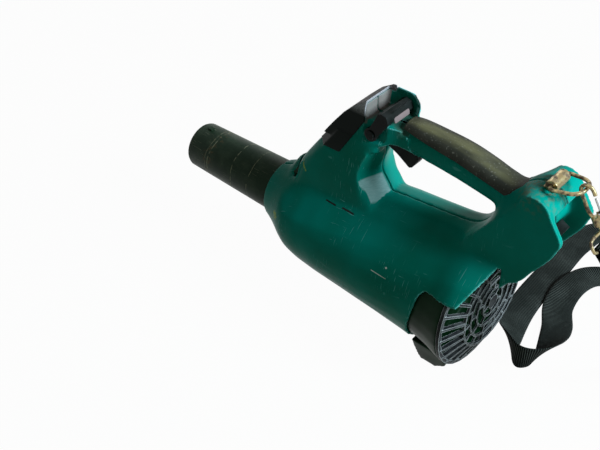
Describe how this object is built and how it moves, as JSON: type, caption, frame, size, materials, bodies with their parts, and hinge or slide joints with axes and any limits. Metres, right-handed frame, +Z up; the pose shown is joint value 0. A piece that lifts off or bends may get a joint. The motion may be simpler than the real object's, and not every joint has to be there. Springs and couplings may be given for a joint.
{
  "type": "cordless leaf blower",
  "caption": "Hand-held cordless leaf blower with a ducted fan, clamshell body, bayonet outlet pipe, rear intake grille, empty battery bay and webbing shoulder strap.",
  "frame": {"origin": "on the ground under the middle of the flat of the rear foot", "axes": "+X from the outlet pipe towards the intake grille, +Y to the blower's right side, +Z up"},
  "size_m": [0.6741, 0.4317, 0.3155],
  "materials": {
    "teal_shell": "satin moulded, scuffed",
    "black_plastic": "fine moulded grain",
    "pipe_plastic": "satin, scratched",
    "grip_rubber": "matt, worn",
    "gloss_inlay": "glossy",
    "zinc_plate": "yellow zinc plate with rust",
    "bare_steel": "ground",
    "copper_winding": "lacquered wire",
    "contact_metal": "bright",
    "grey_plastic": "plain",
    "webbing": "ribbed weave"
  },
  "bodies": {
    "root": {"grip_cover": "grip_rubber", "bumper_trim": "gloss_inlay", "housing_left": "teal_shell", "housing_right": "teal_shell", "housing_screw_1": "bare_steel", "housing_screw_2": "bare_steel", "housing_screw_3": "bare_steel", "housing_screw_4": "bare_steel", "housing_screw_5": "bare_steel", "housing_screw_6": "bare_steel", "fan_duct": "black_plastic", "motor_stator": "copper_winding", "front_bearing": "bare_steel", "rear_bearing": "bare_steel", "motor_end_cap": "grey_plastic", "intake_housing": "black_plastic", "intake_grille": "black_plastic", "trigger_pin": "bare_steel", "switch_body": "black_plastic", "lever_pin": "bare_steel", "controller": "grey_plastic", "terminal_block": "black_plastic", "negative_contact": "contact_metal", "positive_contact": "contact_metal", "hanger_bracket": "zinc_plate", "strap": "webbing"},
    "pipe": {"outlet_pipe": "pipe_plastic"},
    "fan": {"impeller": "black_plastic", "motor_shaft": "bare_steel", "motor_rotor": "bare_steel"},
    "trigger": {"trigger": "black_plastic"},
    "plunger": {"switch_plunger": "grey_plastic"},
    "lever": {"cruise_lever": "black_plastic"},
    "ring": {"carry_ring": "zinc_plate", "swivel_eye": "zinc_plate", "strap_end": "webbing"},
    "hook": {"snap_hook": "zinc_plate", "gate_pin": "bare_steel"},
    "gate": {"hook_gate": "bare_steel"}
  },
  "joints": [
    {"name": "pipe_twist", "type": "hinge", "parent": "root", "child": "pipe", "pos_m": [-0.24, 0, 0.1035], "axis": [-1, 0, 0], "range_deg": [0, 30]},
    {"name": "fan_spin", "type": "hinge", "parent": "root", "child": "fan", "pos_m": [-0.033, 0, 0.1035], "axis": [-1, 0, 0], "continuous": true},
    {"name": "trigger_pull", "type": "hinge", "parent": "root", "child": "trigger", "pos_m": [-0.103, 0, 0.261], "axis": [0, -1, 0], "range_deg": [0, 9], "stiffness_Nm_per_rad": 0.6, "springref_deg": -8.59},
    {"name": "switch_press", "type": "slide", "parent": "root", "child": "plunger", "axis": [0, 0, 1], "range_m": [0, 0.0042]},
    {"name": "cruise_set", "type": "hinge", "parent": "root", "child": "lever", "pos_m": [-0.115, 0, 0.273], "axis": [0, -1, 0], "range_deg": [0, 33]},
    {"name": "ring_swing", "type": "hinge", "parent": "root", "child": "ring", "pos_m": [0.097, 0, 0.301], "axis": [0, 1, 0], "range_deg": [-40, 20], "deforming": ["strap"]},
    {"name": "hook_swivel", "type": "hinge", "parent": "ring", "child": "hook", "pos_m": [0.12758, 0, 0.3061], "axis": [0.5391, 0, -0.8423], "range_deg": [-20, 20]},
    {"name": "gate_open", "type": "hinge", "parent": "hook", "child": "gate", "pos_m": [0.14749, 0, 0.28797], "axis": [0, -1, 0], "range_deg": [0, 25], "stiffness_Nm_per_rad": 0.02, "springref_deg": -20.05}
  ],
  "couplings": [
    {"joint": "switch_press", "follows": "trigger_pull", "m_per_rad": 0.026}
  ]
}
